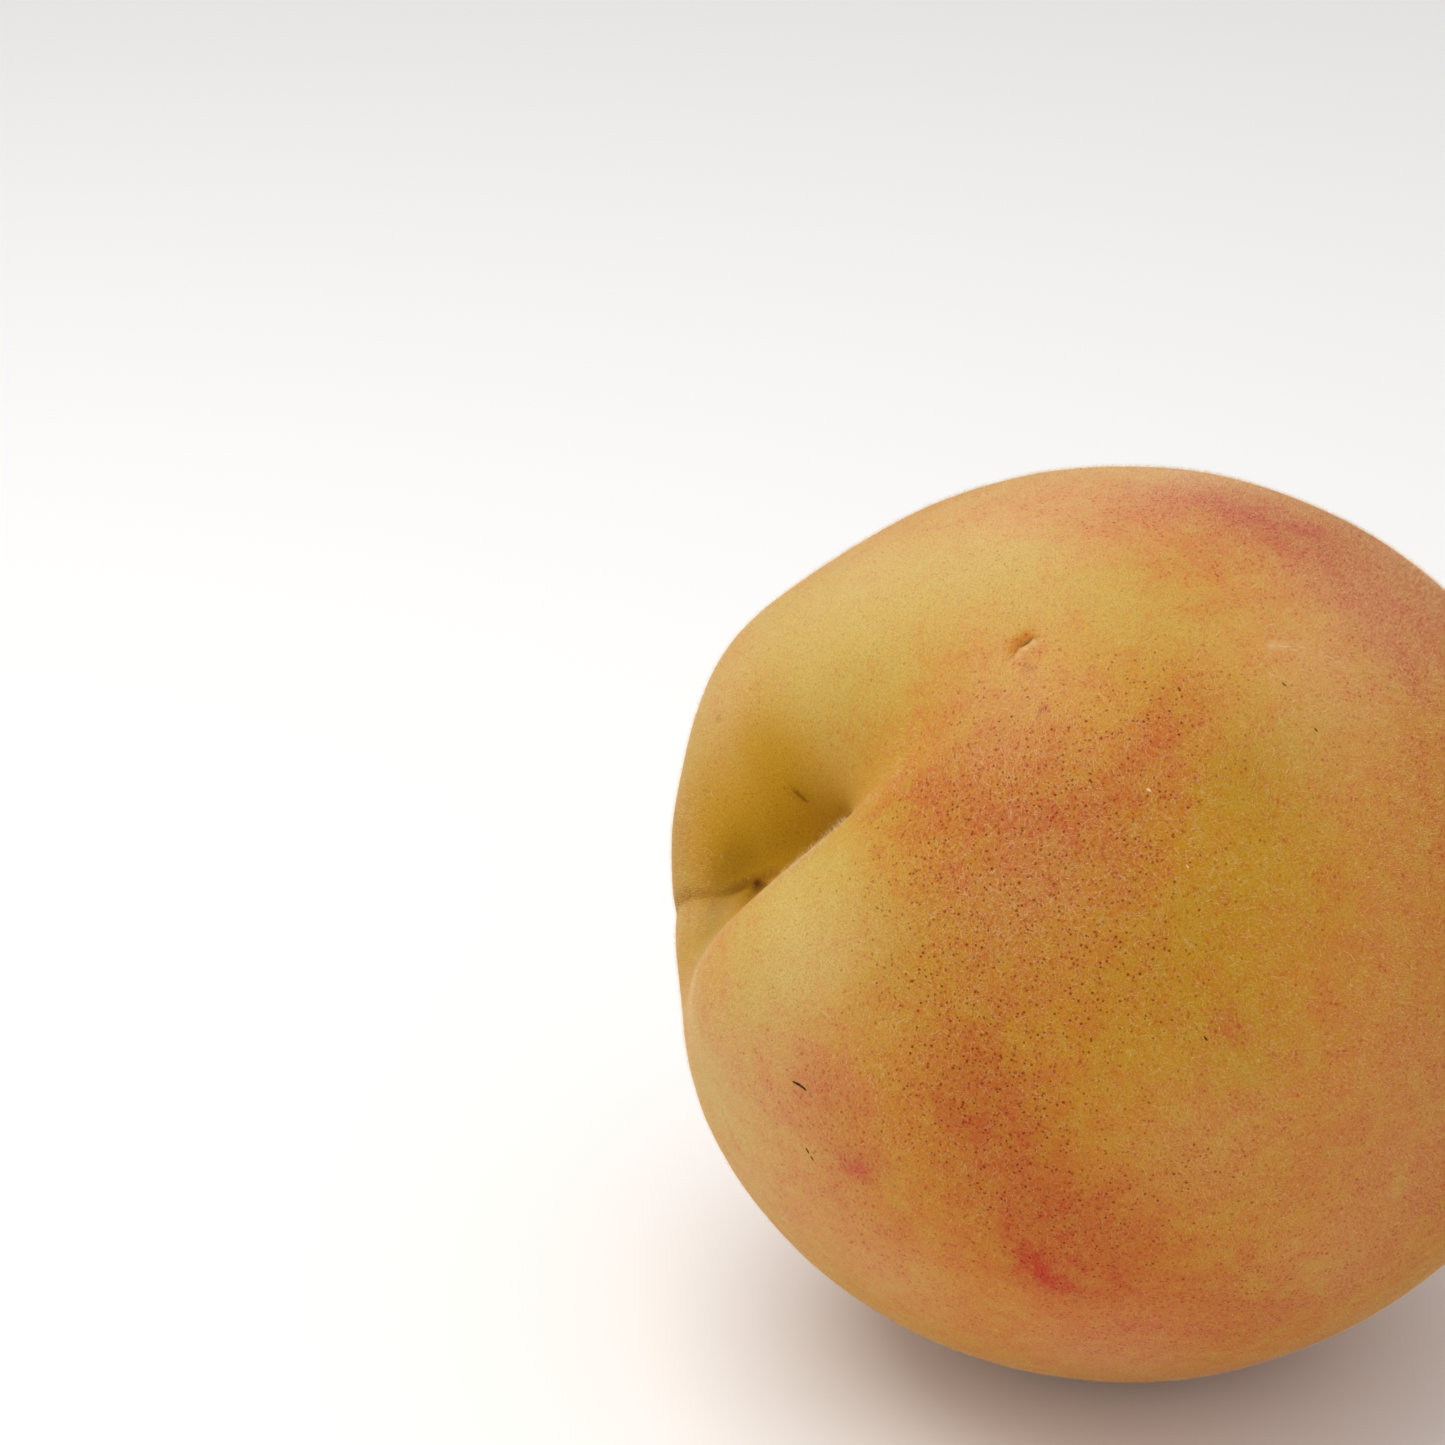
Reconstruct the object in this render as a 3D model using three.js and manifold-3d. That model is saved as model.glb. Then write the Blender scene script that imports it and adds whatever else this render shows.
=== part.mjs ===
// A ripe peach lying on its side, in millimetres, +Z up.
//
// The fruit is one closed body. It starts as a sphere whose poles are the stem and the tip, and every
// vertex is moved to the fruit's surface: a slightly squared ellipsoid, with low swells, the hollow
// round the stem, the groove of the suture down one side, and the small nub at the tip.
//
// In the fruit's own directions a runs from the middle to the stem, s to the side with the suture, and
// w across the two cheeks. The body is then turned to how the fruit lies, and a small flat rest spot is
// cut where its weight bears on the table.
//
// The origin is on the flat rest spot, straight under the fruit's middle.

import * as THREE from 'three';
import { mergeVertices } from 'three/addons/utils/BufferGeometryUtils.js';
import Module from 'manifold-3d';

// --- driving dimensions, mm and degrees ---------------------------------------------------------

const CHEEK_RADIUS = 37.8;        // middle to the cheeks, square to the stem's axis
const STEM_HALF = 39.14;          // middle to the stem end, before the hollow
const TIP_HALF = 39.6;            // middle to the tip end, before the nub
const STEM_SQUARENESS = 2.07;     // exponent of the stem half's profile: 2 is an ellipse
const TIP_SQUARENESS = 1.91;      // the tip half is a little more pointed
const REST_HEIGHT = 37.6;         // height of the middle over the flat rest spot

const HOLLOW = {                  // round the stem
  depth: 11.5,
  s: -4.2,                        // its centre lies off the axis
  w: -2.9,
  turn: 11.4,                      // its long direction, turned from the suture
  suture: 13.3,                   // reach towards the suture
  back: 18.0,                     // reach away from it
  high: 8.15,                      // reach to the upper cheek
  low: 5.5,                       // reach to the lower cheek, where the lip is steep
  sharpness: 1.32,
};
const WELL = { depth: 3.0, reach: 3.6 };   // the narrow pit where the stem broke off

const SWELLS = [                  // low rounded rises: where (a, s, w), how far they reach, how high
  { at: [33, 1.8, -20.7], reach: 9, height: 1.75 },       // high shoulder
  { at: [37, 10, -10], reach: 9, height: 0.9 },           // shoulder beside the suture
  { at: [38.6, -3.4, 4.4], reach: 11.1, height: 2.25 },   // lip of the hollow
  { at: [42.6, -5.9, 11.4], reach: 11, height: 0.75 },
  { at: [2, 27, 21], reach: 15, height: 0.9 },            // the two lobes beside the suture
  { at: [2, 27, -21], reach: 15, height: 0.9 },
  { at: [-24, 16, -14], reach: 14, height: 0.7 },         // uneven places near the tip
  { at: [-20, -24, 12], reach: 16, height: 0.5 },
];

const GROOVE = { depth: 1.5, width: 6.5, start: 24, full: 60, end: 150, fade: 28 };  // the suture
const GROOVE_LEAN = -0.1;         // how far it drifts to one cheek as it leaves the hollow
const TIP = { rise: 1.6, reach: 5.0 };

const STEM_AXIS = new THREE.Vector3(-0.921, -0.319, 0.222);    // where the stem end points
const SUTURE_SIDE = new THREE.Vector3(-0.382, 0.634, -0.672);  // where the suture faces

const SEGMENTS = 84;              // facets round the stem's axis
const RINGS = 42;                 // rings from the stem to the tip, closer together in the hollow

// --- the fruit's surface ------------------------------------------------------------------------

const ease = (x) => {
  const t = Math.min(Math.max(x, 0), 1);
  return t * t * (3 - 2 * t);
};

// The point of the skin at an angle from the stem and an angle round it from the suture, in radians.
function skin(polar, around) {
  const c = Math.cos(polar);
  const r = Math.sin(polar);
  const square = c > 0 ? STEM_SQUARENESS : TIP_SQUARENESS;
  const half = c > 0 ? STEM_HALF : TIP_HALF;
  const radius = (Math.abs(c / half) ** square + Math.abs(r / CHEEK_RADIUS) ** square) ** (-1 / square);
  const p = new THREE.Vector3(c, r * Math.cos(around), r * Math.sin(around)).multiplyScalar(radius);

  for (const { at, reach, height } of SWELLS) {
    const gap = p.distanceToSquared(new THREE.Vector3(...at));
    p.multiplyScalar(1 + (height * Math.exp(-gap / reach ** 2)) / p.length());
  }
  let [a, s, w] = p.toArray();

  // the hollow, pressed in along the axis, with the well at its bottom
  const ds = s - HOLLOW.s;
  const dw = w - HOLLOW.w;
  const turn = THREE.MathUtils.degToRad(HOLLOW.turn);
  const along = Math.cos(turn) * ds + Math.sin(turn) * dw;
  const across = Math.cos(turn) * dw - Math.sin(turn) * ds;
  const q = Math.hypot(
    along / (along > 0 ? HOLLOW.suture : HOLLOW.back),
    across / (across > 0 ? HOLLOW.low : HOLLOW.high),
  );
  const pressed = HOLLOW.depth * Math.exp(-(q ** HOLLOW.sharpness))
    + WELL.depth * Math.exp(-(ds ** 2 + dw ** 2) / WELL.reach ** 2);
  a -= pressed * ease((c + 0.1) / 0.4);

  // the suture's groove, from the shoulder down the side and fading before the tip
  const degrees = THREE.MathUtils.radToDeg(polar);
  const middle = (HOLLOW.w + GROOVE_LEAN * s) * ease(c);
  const depth = GROOVE.depth
    * ease((s + 2) / 10)
    * ease((degrees - GROOVE.start) / (GROOVE.full - GROOVE.start))
    * (1 - ease((degrees - GROOVE.end) / GROOVE.fade));
  const pull = (depth * Math.exp(-(((w - middle) / GROOVE.width) ** 2))) / Math.hypot(a, s, w);
  a *= 1 - pull;
  s *= 1 - pull;

  // the nub at the tip
  if (c < 0) a -= TIP.rise * Math.exp(-(s * s + w * w) / TIP.reach ** 2);
  return [a, s, w];
}

function fruitGeometry() {
  const geometry = new THREE.SphereGeometry(1, SEGMENTS, RINGS);
  const place = geometry.attributes.position;
  for (let ring = 0; ring <= RINGS; ring++) {
    const t = ring / RINGS;
    const polar = Math.PI * (t ** 1.6 * (1 - t) + t * t);
    for (let i = 0; i <= SEGMENTS; i++) {
      // the last vertex of a ring falls on its first, and a whole pole is one point
      const around = (2 * Math.PI * (i % SEGMENTS)) / SEGMENTS;
      const [a, s, w] = ring === 0 || ring === RINGS ? skin(polar, 0) : skin(polar, around);
      place.setXYZ(ring * (SEGMENTS + 1) + i, a, s, w);
    }
  }
  geometry.deleteAttribute('normal');
  geometry.deleteAttribute('uv');
  return geometry;
}

// turns the fruit's own directions a, s and w to how it lies, with its middle over the rest spot
function lie(geometry) {
  const a = STEM_AXIS.clone().normalize();
  const s = SUTURE_SIDE.clone().addScaledVector(a, -SUTURE_SIDE.dot(a)).normalize();
  const w = new THREE.Vector3().crossVectors(a, s);
  geometry.applyMatrix4(new THREE.Matrix4().makeBasis(a, s, w).setPosition(0, 0, REST_HEIGHT));
  return geometry;
}

// --- the flat rest spot -------------------------------------------------------------------------

const wasm = await Module();
wasm.setup();

function solid(geometry) {
  const merged = mergeVertices(geometry, 1e-4);
  return new wasm.Manifold(new wasm.Mesh({
    numProp: 3,
    vertProperties: new Float32Array(merged.attributes.position.array),
    triVerts: new Uint32Array(merged.index.array),
  }));
}

function cutAtTable(geometry) {
  const size = 4 * CHEEK_RADIUS;
  const below = new THREE.BoxGeometry(size, size, size).translate(0, 0, -size / 2);
  below.deleteAttribute('normal');
  below.deleteAttribute('uv');
  const mesh = solid(geometry).subtract(solid(below)).getMesh();
  const cut = new THREE.BufferGeometry();
  cut.setAttribute('position', new THREE.BufferAttribute(new Float32Array(mesh.vertProperties), 3));
  cut.setIndex(new THREE.BufferAttribute(new Uint32Array(mesh.triVerts), 1));
  cut.computeVertexNormals();
  return cut;
}

// --- the fruit ----------------------------------------------------------------------------------

const skinMaterial = new THREE.MeshStandardMaterial({ color: 0xc98f4b, roughness: 0.8, metalness: 0 });

const peach = new THREE.Mesh(cutAtTable(lie(fruitGeometry())), skinMaterial);
peach.name = 'peach';

const fruit = new THREE.Group();
fruit.add(peach);

export default fruit;
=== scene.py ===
import math

import bpy
import numpy as np
from mathutils import Matrix, Vector, noise
from mathutils.bvhtree import BVHTree


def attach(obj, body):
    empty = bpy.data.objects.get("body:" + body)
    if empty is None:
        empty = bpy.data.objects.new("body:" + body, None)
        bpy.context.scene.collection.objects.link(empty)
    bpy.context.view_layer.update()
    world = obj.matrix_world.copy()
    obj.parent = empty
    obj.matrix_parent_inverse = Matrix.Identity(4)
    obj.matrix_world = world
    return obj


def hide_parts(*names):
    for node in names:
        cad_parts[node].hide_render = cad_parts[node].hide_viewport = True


bl_info = {
    "name": "Ripe Peach",
    "version": (1, 0, 0),
    "blender": (4, 5, 0),
    "location": "3D View > Sidebar > Peach",
    "description": "Grows a ripe peach with fuzzy freckled skin, lying on its side on a pale table",
    "category": "Add Mesh",
}

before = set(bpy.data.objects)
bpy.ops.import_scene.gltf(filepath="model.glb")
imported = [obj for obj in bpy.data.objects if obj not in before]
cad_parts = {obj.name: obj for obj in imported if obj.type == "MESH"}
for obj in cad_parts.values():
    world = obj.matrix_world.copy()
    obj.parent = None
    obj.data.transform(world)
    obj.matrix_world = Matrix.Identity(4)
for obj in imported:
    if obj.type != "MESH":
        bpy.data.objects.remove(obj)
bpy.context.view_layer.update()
MM = 0.001
NOISE_SEED = 7    # without it, vector noise differs from run to run

# The fruit's own directions: a runs from the middle to the stem, s to the side with the suture, and w
# across the two cheeks. Every place on the fruit below is given as (a, s, w) in millimetres.
STEM_AXIS = (-0.921, -0.319, 0.222)
SUTURE_SIDE = (-0.382, 0.634, -0.672)

# Low rounded rises of the flesh: a, s, w, reach, height.
SWELLS = (
    # high shoulder
    (33, 1.8, -20.7, 9, 1.75),
    # shoulder beside the suture
    (37, 10, -10, 9, 0.9),
    # lip of the stem's hollow
    (38.6, -3.4, 4.4, 11.1, 2.25), (42.6, -5.9, 11.4, 11, 0.75),
    # the two lobes beside the suture
    (2, 27, 21, 15, 0.9), (2, 27, -21, 15, 0.9),
    # uneven places near the tip
    (-24, 16, -14, 14, 0.7), (-20, -24, 12, 16, 0.5),
)

# The stem's hollow: its centre off the axis, the turn of its long direction from the suture in
# degrees, and its reach towards the suture, away from it, and to the higher and the lower cheek.
HOLLOW_CENTRE = (-4.2, -2.9)
HOLLOW_TURN = 11.4
HOLLOW_REACH = (13.3, 18.0, 8.15, 5.5)
HOLLOW_SHARPNESS = 1.32
WELL_REACH = 3.6

# Where the sun reddened the skin: a, s, w, reach, strength.
BLUSH = (
    # soft haze over the cheek
    (24.5, -27.8, 5.5, 8.4, 0.46), (27, -22.5, 14, 8, 0.18), (20.5, -26.5, 18.5, 8, 0.14),
    (24, -18, 24, 7, 0.26), (17.5, -13.5, 31, 7, 0.38), (27, -25.5, -4.5, 6, 0.04), (4, -12, 35, 10, 0.15),
    (32, -7.5, 20.5, 7, 0.3), (-5, -28, 24, 12, 0.08),
    # the speckled blush over the middle of the cheek
    (30, -21.5, -0.5, 3.6, 0.3), (27.6, -26.2, 0.6, 4.2, 0.3), (22.5, -30.6, 3, 4.6, 0.36),
    (15.6, -34.7, -0.5, 2.9, 0.54), (17.2, -33.8, 1.8, 4, 0.34), (19.6, -32.6, 5, 4.6, 0.34),
    (24, -29.5, 6.5, 4, 0.3), (13.4, -35, -3.4, 3, 0.34), (11.2, -35.6, -5.6, 2.6, 0.28),
    # the band over the top
    (8.5, -26.6, -25.2, 3.8, 0.58), (3.6, -27.2, -26, 4.8, 0.9), (1.3, -30.4, -22.6, 4.6, 0.9),
    (-2.6, -29.6, -23.3, 5, 0.8), (-1.6, -32.6, -18.8, 3.8, 0.66), (-4.4, -34.8, -13.2, 3.8, 0.62),
    (-6.6, -36.2, -8, 3.8, 0.54), (10.2, -31.6, -18.6, 3.6, 0.3), (13.6, -26.4, -23.8, 4.6, 0.24),
    (-9.5, -33.4, -14.5, 5.5, 0.6),
    # the cheek turning away
    (-5, -36.9, 1.5, 5, 0.3), (-5.2, -35.6, 8.8, 6, 0.16), (-6.4, -32.4, 18, 6, 0.14),
    (-7, -24, 28, 5.5, 0.14), (-0.6, -25.6, 27.8, 4, 0.16), (-9.4, -15.6, 33.4, 5, 0.34),
    (-15, -22, 27, 7, 0.44), (11, -3, 37, 9, 0.32),
    # the brick-red blotch low on the cheek
    (27, -20, 19.8, 3.2, 0.5), (25.6, -18.6, 22.6, 3.2, 0.52), (25, -16, 24.8, 3.4, 0.44),
    (22.8, -17.8, 25, 3.4, 0.34), (21.6, -14.6, 28.4, 3.6, 0.4),
    # the strong red patch and its streaks
    (18.5, -10.6, 32, 2, 0.95), (17, -10, 33, 1.9, 1), (15, -9.4, 34, 2.2, 0.9), (20.2, -12.6, 30.4, 3, 0.5),
    (16.2, -16.4, 30.6, 3.8, 0.5), (13.2, -16.8, 31.6, 3.4, 0.36), (12.6, -11.8, 33.8, 3.4, 0.4),
    (8.8, -14.2, 34.2, 4, 0.16), (9.4, -9, 35.8, 4, 0.3), (2.6, -13, 35.4, 3.4, 0.38),
    (-2.2, -10.6, 36.2, 3, 0.56), (-1, -7.6, 37, 4, 0.34), (-7.4, -12.4, 34.8, 4, 0.38), (5, -5.4, 37, 5, 0.3),
    (24.6, -6, 28.6, 4, 0.26), (23, 2, 31.5, 7, 0.2),
    # coral spots near the stem end
    (34.9, -8.5, 17.3, 2.6, 0.4), (36.7, -9.2, 14.2, 3, 0.28), (33.3, -8.4, 19.6, 2.2, 0.38),
    (31.6, -10.4, 20.8, 2.4, 0.32), (35, -2.7, 18.7, 2.4, 0.3), (32, 1.6, 22.2, 2.2, 0.36),
    (29.8, -1, 25.4, 2.6, 0.34), (26.4, -0.8, 28.6, 3.2, 0.3), (22, -28.2, -10.4, 2.4, 0.3),
    (30.4, -11.6, -20.4, 3, 0.22), (24.4, -19.6, -21.6, 3, 0.22),
    # the sunny back, which faces away from the table
    (-14, -24, -24, 14, 0.76), (-27, -17, -10, 12, 0.74), (-4, -8, -37, 12, 0.58), (-26, 6, -24, 12, 0.66),
    (-33, -4, 12, 10, 0.46), (8, 10, -36, 8, 0.4),
    # along the suture
    (22, 29, -4, 5, 0.5), (8, 36, -1, 6, 0.66), (-8, 36.5, 0.5, 7, 0.64), (-22, 29, 1, 7, 0.6),
    (-4, 30, 20, 8, 0.4), (-18, 14, 30, 9, 0.46), (14, 20, -28, 6, 0.36),
)
# Small red spots, whose places are kept.
RED_SPOTS = (
    (30.4, -5.9, 24, 1.6, 1), (30, -5.8, 24.4, 2.8, 0.4), (29, -8.2, 24.4, 1.4, 0.34),
    (10.2, -31.3, 19.2, 0.8, 0.8), (10.4, -31, 19.6, 2, 0.42), (15.6, -34.7, -0.5, 1.4, 0.2),
    (22.4, -28.3, -9.2, 0.45, 0.5), (22.9, -28.2, -9.9, 0.9, 0.3), (22.5, -29.5, -5.2, 0.55, 1),
    (22.9, -29, -6.4, 1.1, 0.3), (33.6, 10, -2.6, 2.4, 0.3), (1.8, -28.9, -24.2, 1.9, 0.5),
    (0.6, -30.6, -22.4, 1.5, 0.28), (18.7, -10, 32, 0.9, 0.95), (15.6, -9.3, 33.8, 1, 0.95),
    (14.4, -9.9, 34.1, 0.8, 0.7), (16.9, -11.2, 32.6, 0.8, 0.5), (13.2, -8.2, 35, 0.7, 0.7),
    (17.2, -10.4, 32.7, 3, 0.24),
)
# Where the skin stays straw yellow, on the shoulder and the lip round the stem.
STRAW = (
    (32.7, -4.7, -22.1, 6.5, 0.7), (30.2, -11, -20, 6.5, 0.85), (26.5, -18, -20.4, 6, 0.8),
    (21.8, -24.6, -18.6, 5.5, 0.78), (16.6, -30.4, -15, 5, 0.62), (12, -33.8, -11.4, 4.4, 0.46),
    (31.9, -12, -14, 6.5, 0.85), (29, -18, -13.2, 5.5, 0.6), (31.5, -6, -11, 5, 0.4),
    (36.6, -12.6, 6.6, 5, 0.9), (34.8, -16.2, 4, 4.8, 0.74), (38.1, -9.3, 11, 5.4, 0.7),
    (33, -18.6, 9.6, 4.6, 0.3), (36.6, -12, -1, 4.5, 0.6), (37, 6, 14, 7, 0.6), (34.8, 8, 1, 4, 0.6),
    (36, 6, -16, 7, 0.6), (35, 14, -4, 6, 0.5), (30, 20, -14, 7, 0.45),
)
# Where it kept a little green, in the shade of leaves.
OLIVE = (
    (10, -36.2, 4, 6, 0.62), (8.6, -36.8, 0.4, 4.2, 0.46), (5, -37.4, -1.6, 4, 0.4),
    (11.8, -34.3, 11.7, 5, 0.62), (13.6, -31.2, 17, 4.6, 0.56), (9, -30.6, 21, 4.6, 0.5),
    (5, -36.4, 9.6, 5, 0.4), (32, 14, 8, 7, 0.45), (20, 16, 28, 8, 0.4), (24, 24, -16, 7, 0.45),
    (31.5, -18, 14.6, 4.5, 0.4), (27, -25, -3.6, 4.5, 0.22), (16.5, -27, 20, 4, 0.34),
)
# Where the ground colour is ripest, turning orange.
RIPE = (
    (-1.8, -36.3, 10.7, 14, 0.42), (-5.8, -26.1, 26.8, 15, 0.65), (10, -6, 36.5, 15, 0.85),
    (18, -14, 29, 10, 0.6), (34.7, -6.9, 17.8, 8, 0.6), (13, -25.3, -25.3, 8, 0.75),
    (2.9, -29.3, -23.7, 10, 0.75), (-7.8, -33.5, -15.5, 12, 0.75), (-30, 0, 0, 26, 0.8), (0, 34, 10, 18, 0.6),
    (-6, 10, -34, 18, 0.7), (-10, 8, 34, 16, 0.6), (27, -25, -3, 7, 0.45), (28, 2, 26, 8, 0.5),
)
# Where the bloom of the down is thickest and dusts the colour paler, partly as painted sheen of the light: the
# high and the stem side.
BLOOM_AND_SHEEN = (
    (34.6, 0.5, -18, 10, 0.8), (28, -12, -24, 9, 0.8), (20, -22, -26, 13, 0.95), (4, -22, -31, 11, 0.94),
    (37, 0, 15, 11, 0.75), (34, -12, 9, 7, 0.74), (31, 6, 22, 10, 0.5), (24, -29, -8, 7, 0.45),
    (-5, -33, -15, 11, 0.62), (2, -36.4, -6, 8, 0.5), (-6, -28, 24, 12, 0.28), (-2, -36.4, 8, 8, 0.14),
    (-10, 20, -30, 16, 0.5), (0, 36, 0, 14, 0.4), (8, -1, 39, 9, 0.45), (24, 2, 31, 7, 0.4),
    (10, -25, 27, 6, 0.25), (-6, -16, 33, 9, 0.34), (24, -27.5, 8.5, 5, 0.2),
)
# Where the rind turns brown-gold, down in the stem's hollow and by its crease.
HOLLOW_GOLD = (
    (33.4, 3.3, -4.4, 4.2, 0.95), (31.2, 0.6, -4.6, 4.4, 0.85), (30.8, -1.8, -6.4, 4, 0.7),
    (32.6, -4, -9, 4.5, 0.72), (34.4, 3.6, -8, 4.5, 0.5), (35.2, 9.6, -4.6, 4, 0.2),
    (33.4, -4.3, -10.3, 4, 0.4), (34.5, -3.1, -12.1, 4, 0.3), (36.2, 5, -12, 4.5, 0.25), (30, -6, -3, 4, 0.8),
)
# Where the dark freckles crowd together.
FRECKLED = (
    (28.5, -24.5, 1, 6, 0.75), (24.5, -28.6, 4, 7, 0.9), (19.5, -32.2, 4, 7, 0.8), (27.5, -24.5, 10, 7, 0.75),
    (26, -22, 15.5, 7, 0.7), (19.5, -29.4, 13.5, 8, 0.66), (25.5, -18.4, 22.5, 6, 0.86),
    (21, -16.4, 27, 6, 0.74), (16.5, -13.6, 31.5, 6, 0.6), (11, -21, 30, 8, 0.36), (14.4, -34.4, -4, 5, 0.5),
    (24, -26.6, -5.4, 4, 0.3), (2, -14, 35, 7, 0.34), (30.5, -8, 22.5, 5, 0.3), (-14, -24, -24, 16, 0.6),
    (-26, 6, -24, 15, 0.55), (8, 36, -1, 12, 0.5), (-22, 26, 8, 14, 0.5), (-20, -10, 30, 16, 0.4),
)
# Dry brown marks, painted shade and faint darkening: a, s, w, reach, strength.
RUSSET_AND_SHADE = (
    # where the crease enters the hollow
    (32.7, 2.4, -2, 0.52, 0.96), (32.5, 2.1, -1.5, 0.8, 0.66), (33.2, 2.7, -0.8, 1.2, 0.3),
    # specks on the far shoulder
    (35.7, 4.6, -10.6, 0.35, 0.24), (35.8, 0.6, -15.5, 0.4, 0.3),
    # pits by the scar
    (22.5, -28.3, -9.2, 0.32, 0.42), (22.5, -29.5, -5.1, 0.3, 0.3),
    # painted shade on the wall by the crease and on the slope below it, a painted shadow on the far rim beside
    # the suture, and faint darkening over the band at the top and in the middle of the cheek
    (33.5, 3.6, -4.2, 3, 0.4), (31, 0, -4, 3.2, 0.22), (34.7, 7, -0.2, 3, 0.21), (33.9, 6.6, -3.4, 2.4, 0.24),
    (35.5, 12, -8, 5, 0.13), (1.5, -29, -24.5, 5.5, 0.07), (-4, -32.5, -18, 6, 0.05),
    (9.2, -36.8, 1.9, 4.5, 0.07),
)
# Where the longer curled hairs crowd.
CURLED = (
    (3.0, -37.0, -5.0, 9.0, 0.3), (25.0, -26.5, -4.0, 7.0, 1.0), (27.0, -24.5, 9.0, 8.0, 1.0),
    (19.0, -32.0, 5.0, 9.0, 0.6), (-20.0, 0.0, 0.0, 24.0, 0.6),
)
# Where hairs are rubbed off, along the lip and over the scar: two ends, reach, share that is gone.
RUBBED = (
    (((36.8, -8.0, 3.0), (36.2, 9.0, 4.5)), 3.6, 0.80),
    (((22.0, -27.2, -12.4), (22.6, -27.5, -11.0)), 1.0, 0.75),
)
# The scar, a fold that healed over: its middle, the way it runs, half its length and its bow in mm,
# then how deep it is, how far it reaches over and under its line, and the ridge under it.
SCAR = (22.35, -27.75, -11.2)
SCAR_RUN = (-0.69, -0.49, -0.53)
SCAR_HALF, SCAR_BOW = 1.3, 0.28
SCAR_DEPTH, SCAR_OVER, SCAR_UNDER = 0.24, 0.60, 0.20
RIDGE_HEIGHT, RIDGE_PLACE, RIDGE_REACH = 0.03, 0.60, 0.40
# A pit beside the scar: a, s, w, reach, depth.
PIT = (22.5, -28.3, -9.2, 0.35, 0.10)
# The skin's faint unevenness: the size and the height of its waves in mm.
WAVES = ((7.0, 0.10), (2.6, 0.03))
# Where rings and columns lie closer together, at the hollow, the suture and the scar: degrees from
# the stem or round it, reach, how many times more.
RING_CROWDS = ((0, 30, 1.2), (54.3, 3.0, 3.0))
COLUMN_CROWDS = ((0, 8, 0.8), (360, 8, 0.8), (202.4, 4.5, 4.0))
# A dry crack on the far wall of the hollow, from one end to the other, and where the crease ends.
CRACK = ((31.50, -4.00, -7.62), (30.72, -4.02, -6.98))
CREASE_END = ((32.7, 2.4, -2.0), (32.0, 1.2, -1.2))
# Two soft pale smears where the bloom is rubbed: two ends, reach, strength.
SMEARS = (
    (((5.7, -36.2, -9.3), (2.6, -36.7, -9.1)), 0.26, 0.74),
    (((1.8, -36.9, -8.7), (0.2, -37.1, -8.1)), 0.22, 0.60),
)
# Dry flecks and pale scratches: half width in mm, then the places they run through.
DRY_FLECKS = (
    (0.130, (35.10, -6.80, 17.70), (34.75, -7.15, 18.05), (34.30, -7.40, 18.55)),
    (0.075, (32.75, -2.70, 21.85), (32.45, -2.55, 22.20)),
    (0.065, (32.20, -2.45, 22.35), (32.00, -2.35, 22.70)),
    (0.060, (5.60, -36.90, -5.90), (5.30, -36.95, -5.60)),
    (0.060, (3.70, -37.60, -2.10), (3.50, -37.60, -1.80)),
    (0.065, (12.00, -29.90, 20.30), (11.70, -29.90, 20.70)),
    (0.055, (-16.0, -28.0, 19.0), (-16.3, -27.6, 19.4)),
    (0.060, (2.0, 37.0, 5.0), (1.5, 37.0, 5.3)),
)
PALE_FLECKS = (
    (0.110, (16.90, -34.25, 2.55), (16.55, -34.35, 2.80)),
    (0.060, (14.20, -33.9, 8.4), (14.0, -33.9, 8.7)),
    (0.040, (5.2, -36.3, -9.3), (4.5, -36.4, -9.2), (3.9, -36.5, -9.3)),
    (0.034, (4.2, -36.5, -9.0), (3.5, -36.6, -8.9)), (0.030, (3.5, -36.6, -9.3), (2.9, -36.7, -9.2)),
    (0.030, (1.3, -36.9, -8.6), (0.7, -37.0, -8.4)),
    (0.026, (6.6, -37.0, -6.9), (6.0, -37.1, -6.4)),
    (0.022, (-20.0, -29.0, -8.0), (-21.0, -28.4, -7.2), (-21.8, -27.6, -7.4)),
)
SKIN_MASKS = ("blush", "straw", "olive", "ripe", "hollow", "bloom_and_sheen", "freckles", "healed", "russet_and_shade")
# Spacings of the skin's patterns in mm.
MOTTLE, STIPPLE, GRAIN = 2.2, 0.35, 0.16
STREAK_LENGTH, STREAK_WIDTH = 4.0, 0.8
POINTS_APART, FRECKLES_APART = 0.43, 0.37

# The table's half side, and the lights: name, place and the side of its square, in metres.
TABLE_REACH = 4.0
LIGHTS = (("softbox", (-0.20, -0.05, 0.60), 0.50), ("front_card", (-0.32, -0.62, 0.16), 0.60))
SENSOR_WIDTH = 36.0


# --- small tools --------------------------------------------------------------------------------

def srgb(text):
    """The linear red, green and blue of an sRGB hex colour."""
    out = []
    for i in (1, 3, 5):
        v = int(text[i:i + 2], 16) / 255
        out.append(v / 12.92 if v <= 0.04045 else ((v + 0.055) / 1.055) ** 2.4)
    return tuple(out)


def ease(x):
    """A soft step from 0 to 1."""
    x = np.clip(x, 0.0, 1.0)
    return x * x * (3.0 - 2.0 * x)


def hump(x, reach):
    """One at nought, falling softly to nothing beyond the reach."""
    return np.exp(-(x / reach) ** 2)


def blotches(places, spots):
    """How strongly each place is covered by soft round spots, 0 to 1."""
    bare = np.ones(len(places))
    for a, s, w, reach, strength in spots:
        gap = ((places - (a, s, w)) ** 2).sum(1)
        bare *= 1.0 - min(strength, 0.995) * np.exp(-gap / reach ** 2)
    return 1.0 - bare


def streak(places, ends, reach):
    """How near each place is to the line between two ends, 0 to 1."""
    start, run = np.array(ends[0]), np.array(ends[1]) - ends[0]
    t = np.clip((places - start) @ run / (run @ run), 0, 1)
    gap = ((places - start - t[:, None] * run) ** 2).sum(1)
    return np.exp(-gap / reach ** 2)


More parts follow.
